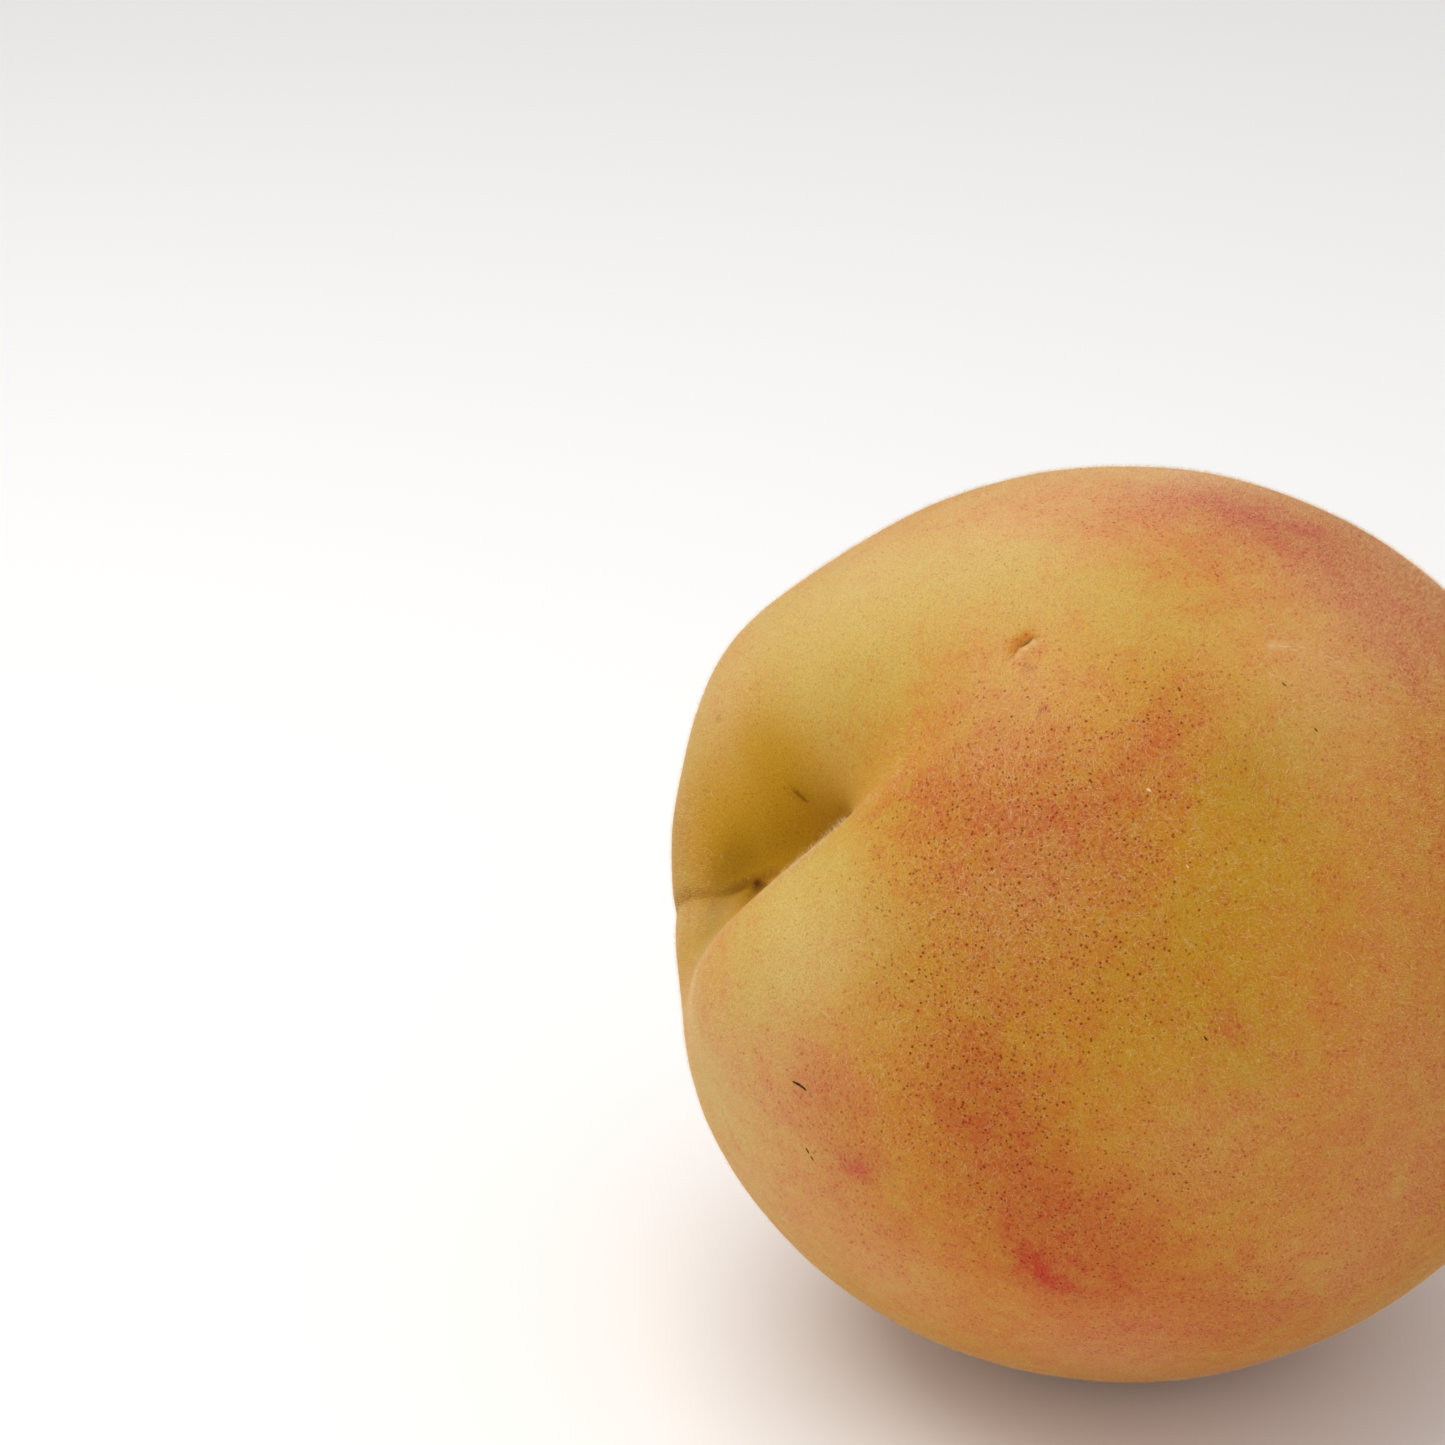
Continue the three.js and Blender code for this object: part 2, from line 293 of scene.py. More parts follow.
def drifted(places, coarse, far, fine, near):
    """Places pushed about by seeded noise in two sizes, so that round spots get ragged edges."""
    noise.seed_set(NOISE_SEED)
    out = np.empty_like(places)
    for i, p in enumerate(places):
        v = Vector(p)
        push = far * noise.noise_vector(v / coarse) + near * noise.noise_vector(v / fine + Vector((31, 7, 19)))
        out[i] = v + push
    return out


def fruit_directions():
    """The rows a, s and w in the world."""
    a = np.array(STEM_AXIS) / np.linalg.norm(STEM_AXIS)
    s = np.array(SUTURE_SIDE) - a * np.dot(SUTURE_SIDE, a)
    s /= np.linalg.norm(s)
    return np.array((a, s, np.cross(a, s)))


def crease_middle(s):
    """Where the fine crease runs: the place across the cheeks, w, at a place towards the suture, s."""
    return HOLLOW_CENTRE[1] - 0.1 * s + 1.35 * hump(s - 5.0, 5.0)


def skin_places(form, polar, around):
    """The skin's (a, s, w) in mm at an angle from the stem and an angle round it from the suture."""
    c, r = np.cos(polar), np.sin(polar)
    square = np.where(c > 0, form.stem_squareness, form.tip_squareness)
    half = np.where(c > 0, form.stem_half, form.tip_half) / MM
    cheek = form.cheek_radius / MM
    radius = (np.abs(c / half) ** square + np.abs(r / cheek) ** square) ** (-1 / square)
    p = np.stack((radius * c, radius * r * np.cos(around), radius * r * np.sin(around)), -1)
    for a, s, w, reach, height in SWELLS:
        gap = ((p - (a, s, w)) ** 2).sum(-1)
        p = p * (1 + height * np.exp(-gap / reach ** 2) / np.linalg.norm(p, axis=-1))[..., None]
    a, s, w = np.moveaxis(p, -1, 0)

    # the hollow, pressed in along the axis, with the narrow well where the stem broke off
    ds, dw = s - HOLLOW_CENTRE[0], w - HOLLOW_CENTRE[1]
    turn = math.radians(HOLLOW_TURN)
    along = math.cos(turn) * ds + math.sin(turn) * dw
    across = math.cos(turn) * dw - math.sin(turn) * ds
    to_suture, back, high, low = HOLLOW_REACH
    q = np.hypot(along / np.where(along > 0, to_suture, back), across / np.where(across > 0, low, high))
    pressed = form.hollow_depth / MM * np.exp(-q ** HOLLOW_SHARPNESS)
    pressed += form.well_depth / MM * np.exp(-(ds ** 2 + dw ** 2) / WELL_REACH ** 2)
    a = a - pressed * ease((c + 0.1) / 0.4)

    # the suture: a broad groove down the side, and the fine crease along its middle
    degrees = np.degrees(polar)
    middle = (HOLLOW_CENTRE[1] - 0.1 * s) * ease(c)
    side = ease((s + 2) / 10)
    groove = form.groove_depth / MM * ease((degrees - 24) / 36) * (1 - ease((degrees - 150) / 28))
    groove = groove * hump(w - middle, form.groove_width / MM)
    wander = 0.5 * np.sin(a / 5.3 + 1.0) * ease((degrees - 40) / 30)
    middle = middle + (crease_middle(s) + 0.1 * s - HOLLOW_CENTRE[1]) * ease(c)
    crease = form.crease_depth / MM * np.exp(-(np.abs(w - middle - wander) / (form.crease_width / MM)) ** 1.5)
    crease = crease * (1 - ease((degrees - 158) / 18))
    pull = side * (groove + crease) / np.sqrt(a * a + s * s + w * w)
    a, s = a * (1 - pull), s * (1 - pull)

    # the nub at the tip
    a = a - form.tip_rise / MM * np.exp(-(s * s + w * w) / 25.0) * (c < 0)
    return np.stack((a, s, w), -1)


def crowded(count, span, crowds):
    """Angles in degrees from 0 to span, closer together round each crowd: middle, reach, extra."""
    t = np.linspace(0, span, 7201)
    density = np.ones_like(t)
    for middle, reach, extra in crowds:
        density += extra * hump(t - middle, reach)
    total = np.concatenate(([0], np.cumsum((density[1:] + density[:-1]) / 2)))
    return np.interp(np.linspace(0, total[-1], count + 1), total, t)


def scar_frame(places):
    """Places along the scar's fold and over it, in mm, and how far they are within its length, 0 to 1."""
    middle = np.array(SCAR)
    outward = middle / np.linalg.norm(middle)
    run = np.array(SCAR_RUN) - outward * np.dot(SCAR_RUN, outward)
    run /= np.linalg.norm(run)
    along = (places - middle) @ run
    over = (places - middle) @ np.cross(outward, run) - SCAR_BOW * (1 - (along / SCAR_HALF) ** 2)
    over = over + 0.07 * np.sin(5.2 * along) + 0.04 * np.sin(11.0 * along + 1.0)
    near = np.linalg.norm(places - middle, axis=1) < 4.0
    return along, over, near * np.exp(-np.minimum(np.abs(along) / SCAR_HALF, 9.0) ** 4)


def skin_grid(form):
    """All the skin's places, (a, s, w) in mm: the stem's pole, the rings between, then the tip's pole."""
    rings, around = form.rings, form.columns
    polar = np.radians(crowded(rings, 180, RING_CROWDS))[1:-1]
    turn = np.radians(crowded(around, 360, COLUMN_CROWDS))[:-1]
    body = skin_places(form, np.repeat(polar, around), np.tile(turn, rings - 1))
    poles = skin_places(form, np.array((0.0, math.pi)), np.zeros(2))
    places = np.concatenate((poles[:1], body, poles[1:]))

    # the scar: the rind rolls down into a fold and rises again in a healed ridge
    along, over, within = scar_frame(places)
    fold = SCAR_DEPTH * np.exp(-np.abs(over) / np.where(over > 0, SCAR_OVER, SCAR_UNDER))
    ridge = RIDGE_HEIGHT * hump(over + RIDGE_PLACE, RIDGE_REACH)
    pit = blotches(places, (PIT,))

    outward = places / np.linalg.norm(places, axis=1, keepdims=True)
    wave = sum(height * np.array([noise.noise(Vector(p) / size) for p in places]) for size, height in WAVES)
    return places + outward * (wave - within * (fold - ridge) - pit)[:, None]


def in_the_world(form, places):
    """(a, s, w) in mm to metres in the world, with the rest spot pressed flat."""
    world = places @ fruit_directions() * MM
    world[:, 2] = np.maximum(world[:, 2] + form.rest_height, 0.0)
    return world


def read(parts, key, width, kind=np.float32):
    """A property of all parts of a mesh, one row each."""
    out = np.empty(len(parts) * width, dtype=kind)
    parts.foreach_get(key, out)
    return out.reshape(-1, width)


def unit(rows):
    """Each row as a vector of length one."""
    return rows / (np.linalg.norm(rows, axis=1, keepdims=True) + 1e-12)


def mesh_from(name, points, corners, sizes):
    """A mesh from flat lists: points, the corner indices of all faces, and each face's corner count."""
    mesh = bpy.data.meshes.new(name)
    mesh.vertices.add(len(points))
    mesh.vertices.foreach_set("co", np.asarray(points, dtype=np.float32).ravel())
    mesh.loops.add(len(corners))
    mesh.loops.foreach_set("vertex_index", np.asarray(corners, dtype=np.int32))
    mesh.polygons.add(len(sizes))
    starts = np.concatenate(([0], np.cumsum(sizes)[:-1])).astype(np.int32)
    mesh.polygons.foreach_set("loop_start", starts)
    mesh.update(calc_edges=True)
    mesh.validate()
    return mesh


def add_piece(name, mesh, material):
    """Links a mesh as an object that rides with the fruit."""
    mesh.materials.append(material)
    piece = bpy.data.objects.new(name, mesh)
    bpy.context.scene.collection.objects.link(piece)
    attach(piece, "root")
    return piece


def add_node(tree, kind, inputs=None, **settings):
    """Adds a node, sets its properties, and gives each named input a value or a link. A node given as
    an input is linked from its first output."""
    node = tree.nodes.new("ShaderNode" + kind)
    for key, value in settings.items():
        setattr(node, key, value)
    for key, value in (inputs or {}).items():
        if isinstance(value, bpy.types.Node):
            value = value.outputs[0]
        if isinstance(value, bpy.types.NodeSocket):
            tree.links.new(value, node.inputs[key])
        else:
            node.inputs[key].default_value = value
    return node


def new_material(name):
    """An empty material and its tree."""
    material = bpy.data.materials.new(name)
    material.use_nodes = True
    material.node_tree.nodes.clear()
    return material, material.node_tree


# --- materials ----------------------------------------------------------------------------------

def peach_skin_material(colours):
    """Ripe peach skin: a thin matte rind, yellow where it was shaded, orange where it is ripest, and
    red where the sun reached it. The red lies in ragged stippled patches and in round freckles of about
    0.2 mm, each at a breathing pore of the skin."""
    material, tree = new_material("Ripe peach skin, matte and freckled")
    place = add_node(tree, "Attribute", attribute_name="fruit").outputs["Vector"]
    seen = {name: add_node(tree, "Attribute", attribute_name=name).outputs["Fac"] for name in SKIN_MASKS}
    paint = {name: (*getattr(colours, name), 1.0) for name in (
        "golden", "straw", "olive", "orange", "hollow", "blush", "deep_blush", "stipple", "freckle", "russet_and_shade",
        "healed", "bloom_and_sheen")}

    # mottling, stipple, and faint streaks from stem to tip
    mottle = add_node(tree, "TexNoise", {"Vector": place, "Scale": 1 / MOTTLE, "Detail": 6.0, "Roughness": 0.66,
                                         "Distortion": 0.5})
    stipple = add_node(tree, "TexNoise", {"Vector": place, "Scale": 1 / STIPPLE, "Detail": 2.0})
    drawn = add_node(tree, "Mapping", {
        "Vector": place, "Scale": (1 / STREAK_LENGTH, 1 / STREAK_WIDTH, 1 / STREAK_WIDTH)})
    streaks = add_node(tree, "TexNoise", {"Vector": drawn, "Scale": 1.0, "Detail": 3.0})

    # the grounds' edges are broken by the mottling
    uneven = add_node(tree, "Math", {0: mottle, 1: 0.5}, operation="SUBTRACT")
    ripe, straw, olive = (
        add_node(tree, "Math", {0: uneven, 1: pull, 2: seen[name]}, operation="MULTIPLY_ADD", use_clamp=True)
        for name, pull in (("ripe", 0.9), ("straw", -0.9), ("olive", -0.9)))

    # the blush shows where the grain of the skin lifts it over the ground
    grain = add_node(tree, "Math", {0: uneven, 1: 1.5, 2: seen["blush"]}, operation="MULTIPLY_ADD")
    specks = add_node(tree, "Math", {0: stipple, 1: 0.7, 2: -0.35}, operation="MULTIPLY_ADD")
    lines = add_node(tree, "Math", {0: streaks, 1: 0.5, 2: -0.25}, operation="MULTIPLY_ADD")
    loose = add_node(tree, "Math", {0: specks, 1: lines}, operation="ADD")
    level = add_node(tree, "Math", {0: grain, 1: loose}, operation="ADD")
    shown = add_node(tree, "MapRange", {"Value": level, "From Min": 0.06, "From Max": 1.33})
    deep = add_node(tree, "MapRange", {"Value": level, "From Min": 0.70, "From Max": 1.20},
                    interpolation_type="SMOOTHSTEP")
    red = add_node(tree, "Mix", {0: deep, 6: paint["blush"], 7: paint["deep_blush"]}, data_type="RGBA")
    # the dusting pales the colour: the down's bloom, and painted sheen where the light falls on the top
    dust_and_sheen = add_node(tree, "Math", {0: seen["bloom_and_sheen"], 1: 0.26}, operation="MULTIPLY")

    # a fine dark grain over the whole rind
    fine = add_node(tree, "TexNoise", {"Vector": place, "Scale": 1 / GRAIN, "Detail": 1.0})
    grains = add_node(tree, "MapRange", {"Value": fine, "From Min": 0.56, "From Max": 0.30, "To Max": 0.26})
    dusky = add_node(tree, "Math", {0: seen["freckles"], 1: 0.17, 2: grains}, operation="MULTIPLY_ADD")

    # red stipple: soft points that thicken where the blush does
    points = add_node(tree, "TexVoronoi", {"Vector": place, "Scale": 1 / POINTS_APART, "Randomness": 1.0})
    luck = add_node(tree, "SeparateColor", {0: points.outputs["Color"]})
    shaded = add_node(tree, "Math", {0: straw, 1: -0.5, 2: level}, operation="MULTIPLY_ADD")
    gain = add_node(tree, "Math", {0: shaded, 1: luck}, operation="SUBTRACT")
    rife = add_node(tree, "MapRange", {"Value": gain, "From Min": -0.40, "From Max": 0.20, "To Max": 0.66})
    point = add_node(tree, "MapRange", {"Value": points, "From Min": 0.46, "From Max": 0.14},
                     interpolation_type="SMOOTHSTEP")
    stippled = add_node(tree, "Math", {0: point, 1: rife}, operation="MULTIPLY")

    # freckles: one in each cell, some left out, each with its own size
    cells = add_node(tree, "TexVoronoi", {"Vector": place, "Scale": 1 / FRECKLES_APART, "Randomness": 1.0})
    chance = add_node(tree, "SeparateColor", {0: cells.outputs["Color"]})
    size = add_node(tree, "Math", {0: chance.outputs[1], 1: 0.17, 2: 0.19}, operation="MULTIPLY_ADD")
    off = add_node(tree, "Math", {0: cells, 1: size}, operation="DIVIDE")
    dot = add_node(tree, "MapRange", {"Value": off, "From Min": 1.25, "From Max": 0.62},
                   interpolation_type="SMOOTHSTEP")
    often = add_node(tree, "Math", {0: seen["freckles"], 1: chance}, operation="SUBTRACT")
    here = add_node(tree, "MapRange", {"Value": often, "From Min": -0.25, "From Max": 0.35, "To Max": 0.88})
    dotted = add_node(tree, "Math", {0: dot, 1: here}, operation="MULTIPLY")

    # the colours, one over another: the grounds, the blush, the bloom with the painted sheen, the grain, the
    # stipple, the freckles, and last the scar's healed ridge and the dry brown marks with the painted shade
    colour = paint["golden"]
    for share, over in (
            (ripe, paint["orange"]), (olive, paint["olive"]), (straw, paint["straw"]),
            (seen["hollow"], paint["hollow"]), (shown, red.outputs[2]), (dust_and_sheen, paint["bloom_and_sheen"]),
            (dusky, paint["freckle"]), (stippled, paint["stipple"]), (dotted, paint["freckle"]),
            (seen["healed"], paint["healed"]), (seen["russet_and_shade"], paint["russet_and_shade"])):
        colour = add_node(tree, "Mix", {0: share, 6: colour, 7: over}, data_type="RGBA").outputs[2]

    # the rind is dimpled at the pores, and its roughness changes a little with the mottling
    grainy = add_node(tree, "Math", {0: stipple, 1: 0.8, 2: mottle}, operation="MULTIPLY_ADD")
    rise = add_node(tree, "Math", {0: dot, 1: -0.35, 2: grainy}, operation="MULTIPLY_ADD")
    bump = add_node(tree, "Bump", {"Strength": 0.35, "Distance": 0.1 * MM, "Height": rise})
    rough = add_node(tree, "Math", {0: mottle, 1: 0.16, 2: 0.54}, operation="MULTIPLY_ADD")

    # freckles, dry marks, the painted shade and the hollow are dull, and the straw yellow rind carries less down
    marks = add_node(tree, "Math", {0: dotted, 1: seen["russet_and_shade"]}, operation="ADD")
    dull = add_node(tree, "Math", {0: marks, 1: seen["hollow"]}, operation="ADD", use_clamp=True)
    gloss = add_node(tree, "Math", {0: dull, 1: -0.14, 2: 0.16}, operation="MULTIPLY_ADD")
    bare = add_node(tree, "Math", {0: seen["straw"], 1: 0.6, 2: dull}, operation="MULTIPLY_ADD", use_clamp=True)
    fuzzy = add_node(tree, "Math", {0: bare, 1: -0.26, 2: 0.28}, operation="MULTIPLY_ADD")
    shader = add_node(tree, "BsdfPrincipled", {
        "Base Color": colour, "Roughness": rough, "IOR": 1.42, "Specular IOR Level": gloss,
        "Subsurface Weight": 0.20, "Subsurface Radius": (1.0, 0.42, 0.16), "Subsurface Scale": 2.0 * MM,
        "Sheen Weight": fuzzy, "Sheen Roughness": 0.24, "Sheen Tint": paint["bloom_and_sheen"], "Normal": bump})
    add_node(tree, "OutputMaterial", {"Surface": shader})
    return material


def fuzz_material(name, colour):
    """Peach fuzz: hollow dry hairs that catch the light, so they look paler than the rind."""
    material, tree = new_material(name)
    shader = add_node(tree, "BsdfPrincipled", {
        "Base Color": (*colour, 1.0), "Roughness": 0.7, "IOR": 1.5, "Specular IOR Level": 0.2})
    add_node(tree, "OutputMaterial", {"Surface": shader})
    return material


def fleck_material(name, colour, light):
    """Scraps of dried leaf or loosened rind: matte and brittle, with a fibrous grain of about 0.1 mm."""
    material, tree = new_material(name)
    place = add_node(tree, "TexCoord").outputs["Object"]
    fibre = add_node(tree, "TexNoise", {"Vector": place, "Scale": 1 / (0.1 * MM), "Detail": 2.0})
    tone = add_node(tree, "Mix", {0: fibre, 6: (*colour, 1.0), 7: (*light, 1.0)}, data_type="RGBA").outputs[2]
    shader = add_node(tree, "BsdfPrincipled", {"Base Color": tone, "Roughness": 0.9, "Specular IOR Level": 0.0})
    add_node(tree, "OutputMaterial", {"Surface": shader})
    return material


def table_material(colours):
    """Matt painted board: plain and pale, with a faint roller grain of 1.1 mm."""
    material, tree = new_material("Matt white painted board")
    where = add_node(tree, "TexCoord").outputs["Object"]
    grain = add_node(tree, "TexNoise", {"Vector": where, "Scale": 1 / (1.1 * MM), "Detail": 2.0})
    bump = add_node(tree, "Bump", {"Strength": 0.05, "Distance": 0.1 * MM, "Height": grain})
    shader = add_node(tree, "BsdfPrincipled", {
        "Base Color": (*colours.table, 1.0), "Roughness": 0.85, "Specular IOR Level": 0.2, "Normal": bump})
    add_node(tree, "OutputMaterial", {"Surface": shader})
    return material


# --- settings -----------------------------------------------------------------------------------

def length(name, default, description):
    return bpy.props.FloatProperty(name=name, description=description, default=default * MM,
                                   min=0.0, unit="LENGTH", precision=5)


def tint(name, default, description):
    return bpy.props.FloatVectorProperty(name=name, description=description, default=srgb(default),
                                         size=3, min=0.0, max=1.0, subtype="COLOR")


class PeachForm(bpy.types.PropertyGroup):
    """Sizes of the fruit."""
    cheek_radius: length("Cheek Radius", 37.8, "Middle to the cheeks, square to the stem's axis")
    stem_half: length("Stem Half", 39.14, "Middle to the stem end, before the hollow is pressed in")
    tip_half: length("Tip Half", 39.6, "Middle to the tip end, before the nub")
    rest_height: length("Rest Height", 37.6, "Height of the middle over the flat rest spot")
    hollow_depth: length("Hollow Depth", 11.5, "Depth of the hollow round the stem")
    well_depth: length("Well Depth", 3.0, "Extra depth of the narrow pit where the stem broke off")
    groove_depth: length("Groove Depth", 1.5, "Depth of the suture's broad groove")
    groove_width: length("Groove Width", 6.5, "Half width of the suture's broad groove")
    crease_depth: length("Crease Depth", 0.24, "Depth of the fine crease along the suture")
    crease_width: length("Crease Width", 1.2, "Half width of the fine crease along the suture")
    tip_rise: length("Tip Rise", 1.6, "Height of the nub at the tip")
    stem_squareness: bpy.props.FloatProperty(
        name="Stem Squareness", description="Exponent of the stem half's profile; 2 is an ellipse",
        default=2.07, min=1.5, max=3.0)
    tip_squareness: bpy.props.FloatProperty(
        name="Tip Squareness", description="Exponent of the tip half's profile; lower is more pointed",
        default=1.91, min=1.5, max=3.0)
    rings: bpy.props.IntProperty(
        name="Rings", description="Rings of skin faces from the stem to the tip", default=296, min=40)
    columns: bpy.props.IntProperty(
        name="Columns", description="Skin faces in each ring", default=330, min=40)


class PeachFuzz(bpy.types.PropertyGroup):
    """Sizes and numbers of the hairs."""
    down_length: length("Down Length", 0.36, "Length of the short down that covers the rind")
    down_width: length("Down Width", 0.011, "Width of a short hair at its root, drawn thicker than real")
    strand_length: length("Strand Length", 0.85, "Length of the longer curled hairs")
    strand_width: length("Strand Width", 0.0090, "Width of a longer hair at its root, drawn thicker than real")
    down_count: bpy.props.IntProperty(
        name="Down Count", description="Short hairs on each half of the fruit", default=175000, min=0)
    strand_count: bpy.props.IntProperty(
        name="Strand Count", description="Longer hairs on each half of the fruit", default=26000, min=0)
    seed: bpy.props.IntProperty(name="Seed", description="Changes where each hair grows", default=7, min=0)


class PeachColours(bpy.types.PropertyGroup):
    """Colours of the skin, the fuzz and the table."""
    golden: tint("Golden", "#BE8620", "Ground colour of the rind")
    straw: tint("Straw", "#BA9C3F", "Rind round the stem, straw yellow")
    olive: tint("Olive", "#B28810", "Rind that grew in the shade, yellow with a little green")
    # orange also paints the shade on the scar's slope
    orange: tint("Orange", "#C27429", "Rind where the fruit is ripest")
    # the hollow colour also paints shade along the crease and on the scar's slope
    hollow: tint("Hollow", "#B38618", "Rind deep in the stem's hollow")
    blush: tint("Blush", "#B65628", "Red of the sunny side")
    deep_blush: tint("Deep Blush", "#B6341E", "Red where the blush is strongest")
    stipple: tint("Stipple", "#A8381C", "Fine points of red between the freckles")
    freckle: tint("Freckle", "#7C2A06", "Freckles at the skin's pores")
    healed: tint("Healed Rind", "#D0AA78", "Rind that healed over the scar")
    # the russet also paints the shade in the hollow, by the crease and in the scar's fold
    russet_and_shade: tint("Russet", "#4A2008", "Dry brown marks")
    # the bloom's colour is also the painted sheen on the lit top, and the tint of the rind's sheen
    bloom_and_sheen: tint("Bloom", "#ECD3AE", "Dusty cast of the thickest down")
    down: tint("Down", "#E8CC98", "Short hairs")
    fuzz: tint("Strands", "#EACC96", "Longer hairs")
    fleck: tint("Dry Fleck", "#241206", "Scraps of dried leaf stuck to the skin")
    scratch: tint("Pale Scratch", "#D0B07C", "Loosened rind along a scratch")
    table: tint("Table", "#F4F3F1", "The table's paint")


class PeachStage(bpy.types.PropertyGroup):
    """Camera and light."""
    distance: length("Camera Distance", 350.0, "Camera to the middle of the fruit, along the view")
    aim_side: length("Aim Side", 33.96, "How far the view is aimed left of the fruit's middle")
    aim_rise: length("Aim Rise", 16.6, "How far the view is aimed over the fruit's middle")
    elevation: bpy.props.FloatProperty(
        name="Camera Elevation", description="How steeply the camera looks down",
        default=math.radians(23), subtype="ANGLE")
    lens: bpy.props.FloatProperty(
        name="Lens", description="Focal length on a 36 mm wide sensor", default=104.64, unit="CAMERA")
    softbox_power: bpy.props.FloatProperty(
        name="Softbox Power", description="Power of the large light overhead", default=2.45, unit="POWER")
    front_power: bpy.props.FloatProperty(
        name="Front Power", description="Power of the weak light low in front", default=0.86, unit="POWER")
    room_light: bpy.props.FloatProperty(
        name="Room Light", description="Strength of the even light from all round", default=0.65)


# --- operators ----------------------------------------------------------------------------------

def skin_masks(places, ragged):
    """How strongly each colour shows at each place of the skin. Ragged holds the same places pushed
    about, for the spots whose edges are uneven."""
    a, s, w = places.T
    straw, gold, red = blotches(ragged, STRAW), blotches(places, HOLLOW_GOLD), blotches(ragged, BLUSH)
    spots = blotches(places + 0.6 * (ragged - places), RED_SPOTS)

    # the crease gets painted shade, brown over its line, with a paler strip beyond it
    line = crease_middle(s)
    near = ease((s + 1) / 2) * ease((a - 26) / 6)
    crease = hump(w - line, np.where(w < line, 1.4, 0.4)) * near
    beyond = hump(w - line - 1.6, 1.3) * near * ease((s - 3) / 2)
    well = (1 - ease((np.hypot(s - HOLLOW_CENTRE[0], w - HOLLOW_CENTRE[1]) - 0.6) / 1.6)) * (a > 10)
    tip = hump(np.hypot(s, w), 0.8) * (a < 0)

    # the scar has painted shade on the slope over its line, orange and darkest at the core, a brown line in the
    # fold that is partly painted shade, and a pale ridge under it
    along, over, within = scar_frame(places)
    scar_slope_shade = within * np.where(over > 0, hump(over - 0.35, 0.76), 0)
    shade_core = scar_slope_shade * hump(along - 0.35, 0.8)
    fold = within * (0.35 + 0.65 * hump(along - 0.45, 0.55)) * hump(over - 0.04, 0.17)
    ridge = within * hump(over + 0.45, 0.34) * (0.62 + 0.38 * np.sin(8.0 * along + 2.0))

    reddened = (1 - 0.9 * gold) * np.maximum.reduce((red, spots, np.full(len(places), 0.10), 0.40 * scar_slope_shade))
    # the painted shade of the crease and of the scar's slope is carried by the blush, hollow, ripe and russet
    # masks
    return {
        "blush": np.maximum(reddened, 0.34 * crease) - 0.35 * gold - 0.22 * straw + 0.20 * spots,
        "straw": straw * (1 - scar_slope_shade),
        "olive": blotches(ragged, OLIVE),
        "bloom_and_sheen": np.maximum((1 - gold) * (1 - scar_slope_shade) * blotches(ragged, BLOOM_AND_SHEEN), 0.35 * beyond),
        "ripe": np.maximum(blotches(ragged, RIPE), 0.8 * scar_slope_shade),
        "hollow": np.maximum.reduce((gold * (1 - 0.5 * beyond), 0.6 * crease, 0.40 * scar_slope_shade)),
        "freckles": blotches(ragged, FRECKLED),
        "healed": np.maximum.reduce(
            [strength * streak(places, ends, reach) for ends, reach, strength in SMEARS] + [0.60 * ridge]),
        # dry brown marks and painted shade: the shaded wall, the crease's shade, and the scar's core and fold
        "russet_and_shade": np.maximum.reduce((
            blotches(places, RUSSET_AND_SHADE), 0.8 * well, 0.6 * tip,
            (0.30 + 0.38 * hump(s - 4.0, 3.0)) * crease, 0.86 * streak(places, CREASE_END, 0.36),
            0.66 * streak(places, CRACK, 0.24), 0.14 * streak(places, CRACK, 0.9),
            0.12 * shade_core, 0.78 * fold)),
    }


class OBJECT_OT_peach_skin(bpy.types.Operator):
    """Grow the skin over the fruit's form, with its blush, freckles and marks"""
    bl_idname = "object.peach_skin"
    bl_label = "Grow Skin"

    def execute(self, context):
        form, colours = context.scene.peach_form, context.scene.peach_colours
        rings, columns = form.rings, form.columns
        places = skin_grid(form)

        i, j = np.meshgrid(np.arange(rings - 2), np.arange(columns), indexing="ij")
        k = (j + 1) % columns
        quads = 1 + np.stack((i * columns + j, (i + 1) * columns + j,
                              (i + 1) * columns + k, i * columns + k), -1).reshape(-1, 4)
        j = np.arange(columns)
        k = (j + 1) % columns
        stem_fan = np.stack((np.zeros_like(j), 1 + j, 1 + k), -1)
        last = 1 + (rings - 2) * columns
        tip_fan = np.stack((np.full_like(j, len(places) - 1), last + k, last + j), -1)
        corners = np.concatenate((quads.ravel(), stem_fan.ravel(), tip_fan.ravel()))
        sizes = np.concatenate((np.full(len(quads), 4), np.full(2 * columns, 3)))
        mesh = mesh_from("peach_skin", in_the_world(form, places), corners, sizes)
        mesh.polygons.foreach_set("use_smooth", np.ones(len(sizes), dtype=bool))

        ragged = drifted(places, 4.5, 1.1, 1.3, 0.8)
        mesh.attributes.new("fruit", "FLOAT_VECTOR", "POINT").data.foreach_set(
            "vector", places.astype(np.float32).ravel())
        for name, values in skin_masks(places, ragged).items():
            mesh.attributes.new(name, "FLOAT", "POINT").data.foreach_set("value", values.astype(np.float32))

        skin = add_piece("peach_skin", mesh, peach_skin_material(colours))
        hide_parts("peach")
        return {"FINISHED"}


def comb_directions(places, normals):
    """Which way the hairs lean at each place: towards the tip, in swirls of about 6 mm."""
    noise.seed_set(NOISE_SEED)
    swirl = np.array([noise.noise_vector(Vector(p) / 6.0 + Vector((5, 50, 9))) for p in places])
    lean = fruit_directions()[0] * -0.35 + swirl * 1.4
    return unit(lean - normals * (lean * normals).sum(1, keepdims=True))


